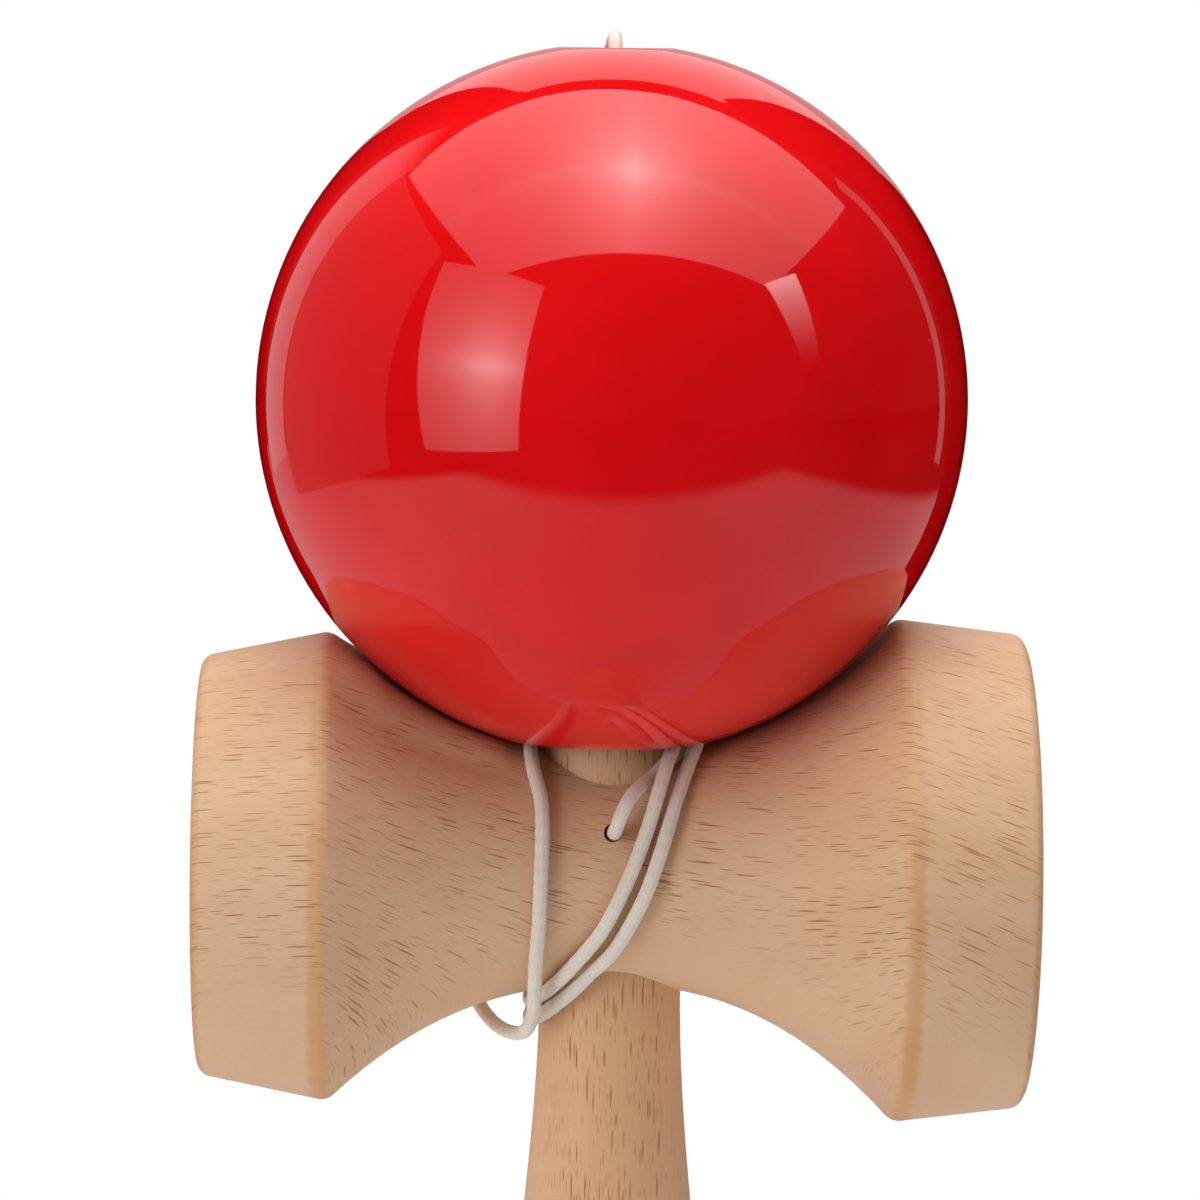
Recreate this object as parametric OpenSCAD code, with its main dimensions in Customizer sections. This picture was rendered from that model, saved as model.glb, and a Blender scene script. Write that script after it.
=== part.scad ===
// Cup and ball toy: a turned beech handle with a spike and a base cup, a crosspiece
// with two more cups, and a lacquered ball on a string that is wound round the waist.
// The ball is seated on the spike. Millimetres, +Z up the handle, big cup towards +X.

/* [Ball] */
// Diameter of the ball
ball_d = 60; // [50:0.5:72]
// Depth of the flat round the string hole at the top
ball_flat = 0.4; // [0.2:0.1:1]
// Diameter of the bore that the spike goes into
bore_d = 18.4; // [18.4:0.2:22]
// Rounding of the bore's lip
bore_lip = 0.5; // [0.5:0.1:1.6]
// Height of the bore's end above the ball's centre
bore_end = 15; // [13:0.5:17]
// Diameter of the chamber that holds the bead
chamber_d = 8.2; // [7.8:0.1:10]
// Height of the chamber's roof above the ball's centre
chamber_roof = 23; // [21:0.5:25]

/* [Crosspiece] */
// Distance from the handle's axis to each cup's rim
cup_reach = 34.9; // [31:0.1:40]
// Distance from the handle's axis to each ridge behind a cup
ridge_reach = 24; // [22:0.1:27]
// Diameter of the waist between the cups
waist_d = 19.9; // [18:0.1:24]
// How sharply the waist rises to the ridges, as a power of the distance
waist_curve = 2.3; // [1.8:0.1:2.6]
// Diameter of the ridge behind the big cup
big_ridge_d = 42.8; // [40:0.2:48]
// Outer diameter of the big cup's rim
big_rim_d = 40.2; // [38:0.2:44]
// Depth of the big cup
big_cup_depth = 8.5; // [6:0.5:11]
// Diameter of the ridge behind the small cup
small_ridge_d = 39.9; // [38:0.1:44]
// Outer diameter of the small cup's rim
small_rim_d = 35.5; // [34:0.1:40]
// Depth of the small cup
small_cup_depth = 7.5; // [6:0.5:10]
// Rounding of the ridges
ridge_round = 1.2; // [0.8:0.1:2.5]
// Width of the cups' rims
rim_w = 2.8; // [2.4:0.1:4]
// Rounding of the rims' edges
rim_round = 1.1; // [0.5:0.1:1.3]

/* [Handle] */
// Height of the crosspiece's axis above the base
axis_h = 106; // [98:1:120]
// Diameter of the handle where the crosspiece sits
seat_d = 12; // [11:0.1:12]
// Height of the spike's tip above the crosspiece's axis
spike_h = 47; // [42:0.5:49]
// Diameter of the spike just below its round tip
spike_tip_d = 8.4; // [6:0.2:9]
// Largest diameter of the grip
grip_d = 17.8; // [15:0.2:22]
// Height of the grip's thickest place above the base
grip_h = 52; // [46:1:58]
// Diameter of the neck above the base cup
neck_d = 13; // [11:0.2:15]
// Height of the neck above the base
neck_h = 28; // [25:0.5:34]
// Diameter of the ridge round the base cup
base_ridge_d = 38.6; // [36:0.2:44]
// Height of that ridge above the base
base_ridge_h = 7; // [5:0.5:10]
// Outer diameter of the base cup's rim
base_rim_d = 36.6; // [34:0.2:40]
// Width of the base cup's rim
base_rim_w = 3.4; // [2.8:0.1:4.5]
// Depth of the base cup
base_cup_depth = 7.5; // [6:0.5:10]

/* [String] */
// Diameter of the string
string_d = 1.2; // [1:0.1:1.2]
// Height of the string hole above the crosspiece's axis
hole_h = 4.3; // [3:0.1:5]
// Diameter of the string holes in the wood
hole_d = 2; // [1.8:0.1:2.4]
// Diameter of the knots
knot_d = 3.4; // [2.8:0.1:4]
// Diameter of the bead that the ball swivels on
bead_d = 7; // [5.5:0.1:7.4]

/* [Fits] */
// Gap between the crosspiece's hole and the handle
press_gap = 0.05; // [0.02:0.01:0.1]
// Gap under the seated ball and round the bead
seat_gap = 0.15; // [0.15:0.05:0.5]
// How far the loosely seated ball is to the left of the spike
ball_shift = 0.4; // [0:0.1:0.4]

/* [Hidden] */
$fn = 96;

beech = "burlywood";
lacquer = "firebrick";
cotton = "ivory";

// Steps along each stretch of a turned outline
arc_steps = 8;
fillet_steps = 4;
// Overlap that lets a cut run clear of a face
clear = 1;

ball_r = ball_d / 2;
bore_r = bore_d / 2;
waist_r = waist_d / 2;
seat_r = seat_d / 2;
string_r = string_d / 2;
hole_r = hole_d / 2;
knot_r = knot_d / 2;
bead_r = bead_d / 2;

// The radius of an arc that starts level and rises
function rise_radius(run, rise) = (run * run + rise * rise) / (2 * rise);
// The waist runs level at the handle and rises to the ridges
function waist_at(x) =
    let (ridge_r = (x < 0 ? small_ridge_d : big_ridge_d) / 2)
    waist_r + (ridge_r - waist_r) * pow(abs(x) / ridge_reach, waist_curve);

// The ball's lip rests over the waist, so the higher side sets the ball's height
lip_centre_r = bore_r + bore_lip;
lip_centre_z = -sqrt(pow(ball_r - bore_lip, 2) - pow(lip_centre_r, 2));
lip_low_r = lip_centre_r * ball_r / (ball_r - bore_lip);
lip_low_z = lip_centre_z * ball_r / (ball_r - bore_lip);
lip_left = -lip_low_r - ball_shift;
lip_right = lip_low_r - ball_shift;
ball_h = axis_h + max(waist_at(lip_left), waist_at(lip_right)) + seat_gap - lip_low_z;
ball_place = [-ball_shift, 0, ball_h];
ball_top = ball_r - ball_flat;

// The bore's end tapers into the bead's chamber
taper_start = bore_end - (bore_r - chamber_d / 2);

// The string bends round the rounded mouth of the ball's top hole
mouth_round = 1.6;
mouth_r = hole_r + mouth_round;
bend_gap = 0.2;
bend_r = mouth_round + bend_gap + string_r;
bead_h = chamber_roof - seat_gap - bead_r;
bead_knot_h = bead_h - bead_r - knot_r / 2;
string_end_h = bead_knot_h + knot_r / 2;

// The knot in the handle lies in a recess at the back, under the crosspiece
recess_d = knot_d + 1;
recess_floor = seat_r - knot_d;
knot_y = seat_r - knot_r - seat_gap;
knot_face_y = knot_y - knot_r * 0.75;

// Outline helpers: a point is [across, along] or [across, along, rounding]
function unit(v) = v / norm(v);
function flat(p) = [p[0], p[1]];
function fillet(before, corner, after, round) =
    let (
        a = unit(flat(before) - flat(corner)),
        b = unit(flat(after) - flat(corner)),
        half = acos(a * b) / 2,
        centre = flat(corner) + unit(a + b) * round / sin(half),
        start = flat(corner) + a * round / tan(half) - centre,
        turn = 180 - 2 * half,
        side = cross(a, b) > 0 ? -1 : 1
    )
    [for (i = [0 : fillet_steps])
        let (w = side * turn * i / fillet_steps)
        centre + [start[0] * cos(w) - start[1] * sin(w), start[0] * sin(w) + start[1] * cos(w)]];
function rounded(points) = [
    for (i = [0 : len(points) - 1])
        each len(points[i]) == 3
            ? fillet(points[i - 1], points[i], points[i + 1], points[i][2])
            : [points[i]]];
// A dish from its middle to its edge, as [across, depth below the rim]
function dish(edge, depth) =
    let (r = rise_radius(edge, depth), sweep = asin(edge / r))
    [for (i = [0 : arc_steps - 1])
        let (w = sweep * i / arc_steps)
        [r * sin(w), depth - r * (1 - cos(w))]];
function reversed(list) = [for (i = [len(list) - 1 : -1 : 0]) list[i]];
// A smooth swell from one radius to another, without its last point
function swell(r0, h0, r1, h1) =
    [for (i = [0 : arc_steps - 1])
        let (t = i / arc_steps)
        [r0 + (r1 - r0) * (1 - cos(180 * t)) / 2, h0 + (h1 - h0) * t]];

// One half of the crosspiece, from its middle out to a cup, as [across, along]
function half_crosspiece(side, ridge_d, rim_d, depth) = rounded(concat(
    [for (i = [0 : arc_steps - 1])
        let (x = ridge_reach * i / arc_steps)
        [waist_at(side * x), x]],
    [[ridge_d / 2, ridge_reach, ridge_round],
     [rim_d / 2, cup_reach, rim_round],
     [rim_d / 2 - rim_w, cup_reach, rim_round]],
    [for (p = reversed(dish(rim_d / 2 - rim_w, depth))) [p[0], cup_reach - p[1]]]));

// The handle's outline, from the base cup's middle up to the spike's tip
base_rim_round = 0.9;
neck_r = neck_d / 2;
flare = rise_radius(neck_h - base_ridge_h, base_ridge_d / 2 - neck_r);
tip_r = spike_tip_d / 2;
tip_rise = tip_r * 0.8;
tip_ball = rise_radius(tip_r, tip_rise);
seat_low = axis_h - waist_r;
seat_high = axis_h + waist_r;
spike_top = axis_h + spike_h;
handle_outline = rounded(concat(
    dish(base_rim_d / 2 - base_rim_w, base_cup_depth),
    [[base_rim_d / 2 - base_rim_w, 0, base_rim_round],
     [base_rim_d / 2, 0, base_rim_round],
     [base_ridge_d / 2, base_ridge_h, ridge_round]],
    [for (i = [1 : arc_steps - 1])
        let (h = (neck_h - base_ridge_h) * (1 - i / arc_steps))
        [neck_r + flare - sqrt(flare * flare - h * h), neck_h - h]],
    swell(neck_r, neck_h, grip_d / 2, grip_h),
    swell(grip_d / 2, grip_h, seat_r, seat_low),
    [[seat_r, seat_low], [seat_r, seat_high]],
    [for (i = [0 : arc_steps])
        let (w = asin(tip_r / tip_ball) * (1 - i / arc_steps))
        [tip_ball * sin(w), spike_top - tip_ball * (1 - cos(w))]]));

// The string's route, from the knot in the handle to the knot under the bead.
// A turn is [along the crosspiece, angle up from the front, gap to the wood].
wrap_turns = [
    // Out of the hole and up to the right of the spike
    [0.15, 25.5, 0.85], [0.35, 27.5, 1.5], [0.65, 30.5, 2], [1.1, 34.5, 2.2], [1.7, 39.5, 1.9],
    [2.4, 45.5, 1.1], [3.2, 52, 0.4], [4.2, 60, 0.3], [5.5, 70, 0.3], [6.4, 80, 0.25],
    [6.7, 92, 0.2], [6.1, 108, 0.25],
    // Down the back to the left of the handle
    [5, 124, 0.3], [3.9, 142, 0.3], [2.3, 160, 0.3], [0.1, 180, 0.3],
    [-2.1, 200, 0.3], [-4.4, 222, 0.3], [-6.5, 243, 0.3], [-6.8, 262, 0.25],
    // The first diagonal up the front
    [-6.75, 278, 0.25], [-6.2, 290, 0.25], [-5.1, 303, 0.3], [-3.4, 319, 0.3],
    [-0.9, 340, 0.3], [1.15, 363, 0.3], [2.6, 383, 0.6], [3.6, 399, 1.4], [4.6, 416, 1.8],
    [5.7, 433, 1.85], [6.75, 450, 1.65], [7, 467, 1.2],
    // Down the back again
    [6.9, 485, 0.4], [6.1, 502, 0.3], [4.4, 520, 0.3], [2.2, 540, 0.3], [0.1, 560, 0.3],
    [-2.2, 582, 0.3], [-4.2, 598, 0.6], [-5.9, 611, 1.3], [-6.7, 624, 1.75],
    // The second diagonal up the front
    [-6.7, 636, 1.8], [-6, 647, 1.75], [-4.7, 657, 1.45], [-3.2, 666, 0.95], [-1.8, 675, 0.4],
    [0.2, 690, 0.3], [2.4, 714, 0.3], [3.9, 736, 0.3], [5.1, 758, 0.3], [6.2, 777, 0.3],
    [7.15, 791, 1.2], [7.55, 803, 2.7],
    // Round the back of the spike
    [7.4, 815, 3.3], [6.3, 826, 3.2], [4.4, 837, 2], [2.4, 846, 1.1], [0, 850, 0.7],
    [-2.6, 847, 0.6], [-5, 837, 0.5], [-6.6, 823, 0.3], [-6.9, 808, 0.2],
    // Down the front on the left
    [-7, 793, 0.2], [-6.8, 776, 0.3], [-6.1, 758, 0.3], [-6, 741, 0.3], [-6.1, 722, 0.3],
    [-6.2, 704, 0.3], [-6.4, 688, 0.4], [-6.5, 674, 1.3], [-6.6, 661, 2.3],
    // The slack loop below the waist
    [-7.3, 648, 2.9], [-8.7, 635, 2.5], [-10.1, 621, 1.9], [-11.3, 606, 1.3],
    [-11.8, 590, 0.8], [-11.4, 574, 0.5]];
// Straight up behind the crosspiece: a place from the middle of the crosspiece
tail_places = [[-10.6, 14.2, 1], [-10.1, 18, 8], [-9.6, 21.8, 15]];
// Over the ball: [sideways, angle from the top to the back, gap to the ball]
over_turns = [[-8.6, 117, 0.4], [-8.1, 111, 0.3], [-7.4, 104, 0.3], [-6.6, 96, 0.3],
              [-5.8, 87, 0.3], [-4.9, 78, 0.3], [-4, 68, 0.3], [-3.1, 58, 0.3],
              [-2.3, 49, 0.3], [-1.5, 40, 0.3], [-0.9, 31, 0.3], [-0.5, 24, 0.3],
              [-0.2, 18, 0.3], [0, 9.7, 0.2]];

function wrap_place(turn) =
    let (r = waist_at(turn[0]) + turn[2] + string_r)
    [turn[0], -r * cos(turn[1]), axis_h + r * sin(turn[1])];
function over_place(turn) =
    let (r = sqrt(pow(ball_r + turn[2] + string_r, 2) - turn[0] * turn[0]))
    ball_place + [turn[0], r * sin(turn[1]), r * cos(turn[1])];

hole_z = axis_h + hole_h;
// The string leaves its hole just inside the waist's front
hole_mouth_y = -sqrt(waist_r * waist_r - hole_h * hole_h);
through_steps = 4;
through_route = [for (i = [0 : through_steps])
    [0, knot_face_y + (hole_mouth_y + 1.6 - knot_face_y) * i / through_steps, hole_z]];
wrap_route = concat(
    [[0, hole_mouth_y + 0.4, hole_z], [0.05, hole_mouth_y - 0.7, hole_z + 0.15]],
    [for (turn = wrap_turns) wrap_place(turn)],
    [for (place = tail_places) place + [0, 0, axis_h]]);
over_route = concat(
    [for (turn = over_turns) over_place(turn)],
    [for (w = [0 : 22.5 : 90])
        ball_place + [0, mouth_r - bend_r * sin(w), ball_top - mouth_round + bend_r * cos(w)]],
    [for (h = [(chamber_roof + ball_top) / 2, chamber_roof, bead_h, string_end_h])
        ball_place + [0, 0, h]]);
route = concat(through_route, wrap_route, over_route);
wraps_start = len(through_route) - 1;
over_start = len(through_route) + len(wrap_route) - 1;

// A tube is a ring of points square to the route at each of its places
function tangent(i) = unit(route[min(i + 1, len(route) - 1)] - route[max(i - 1, 0)]);
tangents = [for (i = [0 : len(route) - 1]) tangent(i)];
function square_to(v, t) = unit(v - (v * t) * t);
normals = [
    for (i = 0, n = [0, 0, 1]; i < len(route); i = i + 1,
         n = square_to(n, tangents[min(i, len(route) - 1)])) n];
function ring(i, sides) = [
    for (k = [0 : sides - 1])
        let (w = 360 * k / sides)
        route[i] + string_r * (cos(w) * normals[i] + sin(w) * cross(tangents[i], normals[i]))];
module tube(first, last, sides) {
    points = [for (i = [first : last]) each ring(i, sides)];
    final = (last - first) * sides;
    walls = [
        for (i = [0 : last - first - 1], k = [0 : sides - 1])
            let (a = i * sides + k, b = i * sides + (k + 1) % sides)
            each [[a, a + sides, b], [b, a + sides, b + sides]]];
    caps = [
        for (k = [1 : sides - 2])
            each [[0, k, k + 1], [final, final + k + 1, final + k]]];
    polyhedron(points, concat(walls, caps));
}

// The least gap of the string to itself, from each place to each stretch not beside it
function to_stretch(p, a, b) =
    let (along = b - a, t = min(1, max(0, (p - a) * along / (along * along))))
    norm(p - a - t * along);
least_gap = min([
    for (i = [0 : len(route) - 1], j = [0 : len(route) - 2])
        if (j > i + 2 || j < i - 3) to_stretch(route[i], route[j], route[j + 1])]) - string_d;
stretches = [for (i = [1 : len(route) - 1]) norm(route[i] - route[i - 1])];
function total(list) = list * [for (item = list) 1];
echo(least_gap_of_string = least_gap, string_length = total(stretches));

module across(y0, y1, d) {
    translate([0, y0, hole_z]) rotate([-90, 0, 0]) cylinder(h = y1 - y0, d = d);
}

module handle() {
    color(beech) difference() {
        rotate_extrude() polygon(handle_outline);
        across(-seat_r - clear, recess_floor + clear, hole_d);
        across(recess_floor, seat_r + clear, recess_d);
    }
}

module cup_crosspiece() {
    big = half_crosspiece(1, big_ridge_d, big_rim_d, big_cup_depth);
    small = half_crosspiece(-1, small_ridge_d, small_rim_d, small_cup_depth);
    outline = concat(
        reversed([for (p = small) [p[0], -p[1]]]),
        [for (i = [1 : len(big) - 1]) big[i]]);
    color(beech) difference() {
        translate([0, 0, axis_h]) rotate([90, 0, 90]) rotate_extrude() polygon(outline);
        translate([0, 0, axis_h - 2 * waist_r])
            cylinder(h = 4 * waist_r, d = seat_d + 2 * press_gap);
        across(-2 * waist_r, -seat_r, hole_d);
    }
}

module ball() {
    color(lacquer) translate(ball_place) difference() {
        sphere(r = ball_r);
        // The flat round the string hole
        translate([-ball_r, -ball_r, ball_top]) cube(2 * ball_r);
        // The bore, its rounded lip, its tapered end, the bead's chamber and the hole
        translate([0, 0, -ball_r - clear]) cylinder(h = ball_r + clear + taper_start, r = bore_r);
        translate([0, 0, taper_start])
            cylinder(h = bore_end - taper_start, r1 = bore_r, r2 = chamber_d / 2);
        cylinder(h = chamber_roof, d = chamber_d);
        cylinder(h = ball_r + clear, r = hole_r);
        rotate_extrude() difference() {
            polygon([[bore_r - clear, lip_centre_z], [lip_centre_r, lip_centre_z],
                     [lip_low_r, lip_low_z], [lip_low_r, -ball_r - clear],
                     [bore_r - clear, -ball_r - clear]]);
            translate([lip_centre_r, lip_centre_z]) circle(bore_lip);
        }
        rotate_extrude() difference() {
            translate([0, ball_top - mouth_round]) square([mouth_r, mouth_round + clear]);
            translate([mouth_r, ball_top - mouth_round]) circle(mouth_round);
        }
    }
}

module ball_bead() {
    color(beech) translate(ball_place + [0, 0, bead_h]) difference() {
        sphere(r = bead_r);
        translate([0, 0, -bead_d]) cylinder(h = 2 * bead_d, r = hole_r);
    }
}

module bead_knot() {
    color(cotton) translate(ball_place + [0, 0, bead_knot_h]) difference() {
        sphere(r = knot_r);
        translate([-knot_d, -knot_d, knot_r / 2]) cube(2 * knot_d);
    }
}

module handle_knot() {
    color(cotton) difference() {
        translate([0, knot_y, hole_z]) sphere(r = knot_r);
        translate([-knot_d, knot_face_y - 2 * knot_d, hole_z - knot_d]) cube(2 * knot_d);
    }
}

module string_through_handle() {
    color(cotton) tube(0, wraps_start, 8);
}

module string_wraps() {
    color(cotton) tube(wraps_start, over_start, 6);
}

module string_over_ball() {
    color(cotton) tube(over_start, len(route) - 1, 8);
}

handle();
cup_crosspiece();
ball();
ball_bead();
bead_knot();
handle_knot();
string_through_handle();
string_wraps();
string_over_ball();
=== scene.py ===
# %% [markdown]
# # A cup and ball toy
# A turned beech handle with a spike, a crosspiece with a cup at each end, and a gloss red ball
# on a white string. The measured solids of the toy come in first, as a frame that never moves.
# Everything made below is placed by that frame, in metres, so nothing has to be fitted by eye.

# %% Load the frame
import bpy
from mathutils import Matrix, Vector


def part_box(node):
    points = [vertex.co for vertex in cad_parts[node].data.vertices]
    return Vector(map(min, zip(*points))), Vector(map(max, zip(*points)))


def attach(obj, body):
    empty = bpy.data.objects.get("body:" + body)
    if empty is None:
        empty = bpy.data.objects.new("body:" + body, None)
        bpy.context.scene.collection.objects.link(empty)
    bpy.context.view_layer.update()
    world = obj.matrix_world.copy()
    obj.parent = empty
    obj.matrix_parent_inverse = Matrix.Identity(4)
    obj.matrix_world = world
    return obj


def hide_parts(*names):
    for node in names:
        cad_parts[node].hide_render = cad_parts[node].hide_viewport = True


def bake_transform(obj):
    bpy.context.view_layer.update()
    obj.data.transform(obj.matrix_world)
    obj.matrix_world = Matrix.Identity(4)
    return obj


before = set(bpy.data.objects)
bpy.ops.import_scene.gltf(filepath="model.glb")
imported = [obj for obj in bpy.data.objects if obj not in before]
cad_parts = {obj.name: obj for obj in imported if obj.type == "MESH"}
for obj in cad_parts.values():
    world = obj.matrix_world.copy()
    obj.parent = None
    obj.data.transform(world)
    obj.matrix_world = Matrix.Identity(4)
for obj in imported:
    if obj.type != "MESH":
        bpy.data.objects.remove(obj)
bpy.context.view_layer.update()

import math

import bmesh
import bpy
from mathutils import Quaternion, Vector

MM = 0.001
cross_low, cross_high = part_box("cup_crosspiece")
axis_z = (cross_low[2] + cross_high[2]) / 2


# %% [markdown]
# ## The camera
# The photograph was taken with a long lens from a little above the crosspiece, about level with
# the ball's top. A long lens a good way off keeps the cups' rims almost edge-on, as they are in
# the picture, so the lens and the distance matter more here than the framing. The toy leans a
# hair to the right in the picture, so the camera is rolled a hair to the left.

# %% Place the camera
# Both from the middle of the crosspiece
CAMERA_PLACE = Vector((-10.5, -445, 70.3)) * MM
CAMERA_AIM = Vector((-1.2, 0, 22.9)) * MM
CAMERA_LENS = 158.5
CAMERA_ROLL = 0.0112

camera = bpy.data.objects.new("camera", bpy.data.cameras.new("camera"))
camera.data.lens = CAMERA_LENS
camera.data.sensor_width = 36
camera.data.clip_start = 0.01
camera.location = Vector((0, 0, axis_z)) + CAMERA_PLACE
level_look = (CAMERA_AIM - CAMERA_PLACE).to_track_quat("-Z", "Y")
camera.rotation_euler = (level_look @ Quaternion((0, 0, 1), CAMERA_ROLL)).to_euler()
bpy.context.scene.collection.objects.link(camera)
bpy.context.scene.camera = camera
print("camera", tuple(round(c, 4) for c in camera.location))


# %% [markdown]
# ## The toy's sizes
# A turned piece is known by its outline, so the outlines need only a few sizes. They are the
# sizes of the measured solids, in millimetres, and the ball's place is read from the frame: it
# sits loosely on the spike, a hair to the left.

# %% Name the sizes
BALL_R = 30.0
BALL_FLAT = 0.4
BORE_R = 9.2
BORE_LIP = 0.5
BORE_END = 15.0
CHAMBER_R = 4.1
CHAMBER_ROOF = 23.0
WAIST_R = 9.95
WAIST_CURVE = 2.3
RIDGE_REACH = 24.0
CUP_REACH = 34.9
BIG_RIDGE_R = 21.4
BIG_RIM_R = 20.1
BIG_CUP_DEPTH = 8.5
SMALL_RIDGE_R = 19.95
SMALL_RIM_R = 17.75
SMALL_CUP_DEPTH = 7.5
RIM_W = 2.8
SEAT_R = 6.0
PRESS_GAP = 0.05
HOLE_R = 1.0
HOLE_RISE = 4.3
STRING_R = 0.6
KNOT_R = 1.7
BEAD_R = 3.5
SEAT_GAP = 0.15

AXIS_H = axis_z / MM
BALL_TOP = BALL_R - BALL_FLAT
ball_low, ball_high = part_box("ball")
BALL_X = (ball_low[0] + ball_high[0]) / 2 / MM
BALL_H = ball_high[2] / MM - BALL_TOP
ball_middle = Vector((BALL_X, 0, BALL_H))
HOLE_H = AXIS_H + HOLE_RISE


def rise_radius(run, rise):
    """The radius of an arc that starts level and climbs by rise over run."""
    return (run * run + rise * rise) / (2 * rise)


def waist_at(x):
    """The crosspiece's radius beside the handle, at x along it."""
    ridge = SMALL_RIDGE_R if x < 0 else BIG_RIDGE_R
    return WAIST_R + (ridge - WAIST_R) * (abs(x) / RIDGE_REACH) ** WAIST_CURVE


print("ball centre at", ball_middle, "mm; waist", waist_at(0), "to", waist_at(RIDGE_REACH))


# %% [markdown]
# ## The string's route
# The string starts at a knot inside the handle, comes out of a small hole in the front of the
# waist, goes twice round the waist, once behind the spike, hangs in a slack loop at the lower
# left, and climbs the ball's back to the hole at its top. A winding is easiest to place as
# turns: how far along the crosspiece, the angle up from the front, and the gap to the wood.
# The route is the measured solid's own, so the drawn string lies where that one does.

# %% List the turns
WRAP_TURNS = [
    # Out of the hole and up to the right of the spike
    (0.15, 25.5, 0.85), (0.35, 27.5, 1.5), (0.65, 30.5, 2), (1.1, 34.5, 2.2), (1.7, 39.5, 1.9),
    (2.4, 45.5, 1.1), (3.2, 52, 0.4), (4.2, 60, 0.3), (5.5, 70, 0.3), (6.4, 80, 0.25),
    (6.7, 92, 0.2), (6.1, 108, 0.25),
    # Down the back to the left of the handle
    (5, 124, 0.3), (3.9, 142, 0.3), (2.3, 160, 0.3), (0.1, 180, 0.3),
    (-2.1, 200, 0.3), (-4.4, 222, 0.3), (-6.5, 243, 0.3), (-6.8, 262, 0.25),
    # The first diagonal up the front
    (-6.75, 278, 0.25), (-6.2, 290, 0.25), (-5.1, 303, 0.3), (-3.4, 319, 0.3),
    (-0.9, 340, 0.3), (1.15, 363, 0.3), (2.6, 383, 0.6), (3.6, 399, 1.4), (4.6, 416, 1.8),
    (5.7, 433, 1.85), (6.75, 450, 1.65), (7, 467, 1.2),
    # Down the back again
    (6.9, 485, 0.4), (6.1, 502, 0.3), (4.4, 520, 0.3), (2.2, 540, 0.3), (0.1, 560, 0.3),
    (-2.2, 582, 0.3), (-4.2, 598, 0.6), (-5.9, 611, 1.3), (-6.7, 624, 1.75),
    # The second diagonal up the front
    (-6.7, 636, 1.8), (-6, 647, 1.75), (-4.7, 657, 1.45), (-3.2, 666, 0.95), (-1.8, 675, 0.4),
    (0.2, 690, 0.3), (2.4, 714, 0.3), (3.9, 736, 0.3), (5.1, 758, 0.3), (6.2, 777, 0.3),
    (7.15, 791, 1.2), (7.55, 803, 2.7),
    # Round the back of the spike
    (7.4, 815, 3.3), (6.3, 826, 3.2), (4.4, 837, 2), (2.4, 846, 1.1), (0, 850, 0.7),
    (-2.6, 847, 0.6), (-5, 837, 0.5), (-6.6, 823, 0.3), (-6.9, 808, 0.2),
    # Down the front on the left
    (-7, 793, 0.2), (-6.8, 776, 0.3), (-6.1, 758, 0.3), (-6, 741, 0.3), (-6.1, 722, 0.3),
    (-6.2, 704, 0.3), (-6.4, 688, 0.4), (-6.5, 674, 1.3), (-6.6, 661, 2.3),
    # The slack loop below the waist
    (-7.3, 648, 2.9), (-8.7, 635, 2.5), (-10.1, 621, 1.9), (-11.3, 606, 1.3),
    (-11.8, 590, 0.8), (-11.4, 574, 0.5),
]
# Straight up behind the crosspiece, from its middle
TAIL_PLACES = [(-10.6, 14.2, 1), (-10.1, 18, 8), (-9.6, 21.8, 15)]
# Over the ball: sideways, the angle from the top to the back, and the gap to the ball
OVER_TURNS = [
    (-8.6, 117, 0.4), (-8.1, 111, 0.3), (-7.4, 104, 0.3), (-6.6, 96, 0.3), (-5.8, 87, 0.3),
    (-4.9, 78, 0.3), (-4, 68, 0.3), (-3.1, 58, 0.3), (-2.3, 49, 0.3), (-1.5, 40, 0.3),
    (-0.9, 31, 0.3), (-0.5, 24, 0.3), (-0.2, 18, 0.3), (0, 9.7, 0.2),
]
print(len(WRAP_TURNS) + len(TAIL_PLACES) + len(OVER_TURNS), "places chosen by hand")

# %% Turn the route into points
MOUTH_ROUND = 1.6
BEND_GAP = 0.2
BEND_STEPS = 4
KNOT_FLAT = 0.75
THROUGH_STEPS = 4
THROUGH_END = 1.6
# Out of the hole, from the middle of its mouth
LEAVING_PLACES = [(0, 0.4, 0), (0.05, -0.7, 0.15)]

mouth_r = HOLE_R + MOUTH_ROUND
bend_r = MOUTH_ROUND + BEND_GAP + STRING_R
bead_h = CHAMBER_ROOF - SEAT_GAP - BEAD_R
string_end_h = bead_h - BEAD_R
knot_y = SEAT_R - KNOT_R - SEAT_GAP
knot_face_y = knot_y - KNOT_R * KNOT_FLAT
hole_mouth_y = -math.sqrt(WAIST_R ** 2 - HOLE_RISE ** 2)


def wrap_place(x, turn, gap):
    """A point of the winding on the waist."""
    r = waist_at(x) + gap + STRING_R
    w = math.radians(turn)
    return Vector((x, -r * math.cos(w), AXIS_H + r * math.sin(w)))


def over_place(x, turn, gap):
    """A point of the stretch over the ball."""
    r = math.sqrt((BALL_R + gap + STRING_R) ** 2 - x * x)
    w = math.radians(turn)
    return ball_middle + Vector((x, r * math.sin(w), r * math.cos(w)))


def mouth_place(turn):
    """A point of the bend into the ball's top hole."""
    w = math.radians(turn)
    height = BALL_TOP - MOUTH_ROUND
    return ball_middle + Vector((0, mouth_r - bend_r * math.sin(w), height + bend_r * math.cos(w)))


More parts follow.
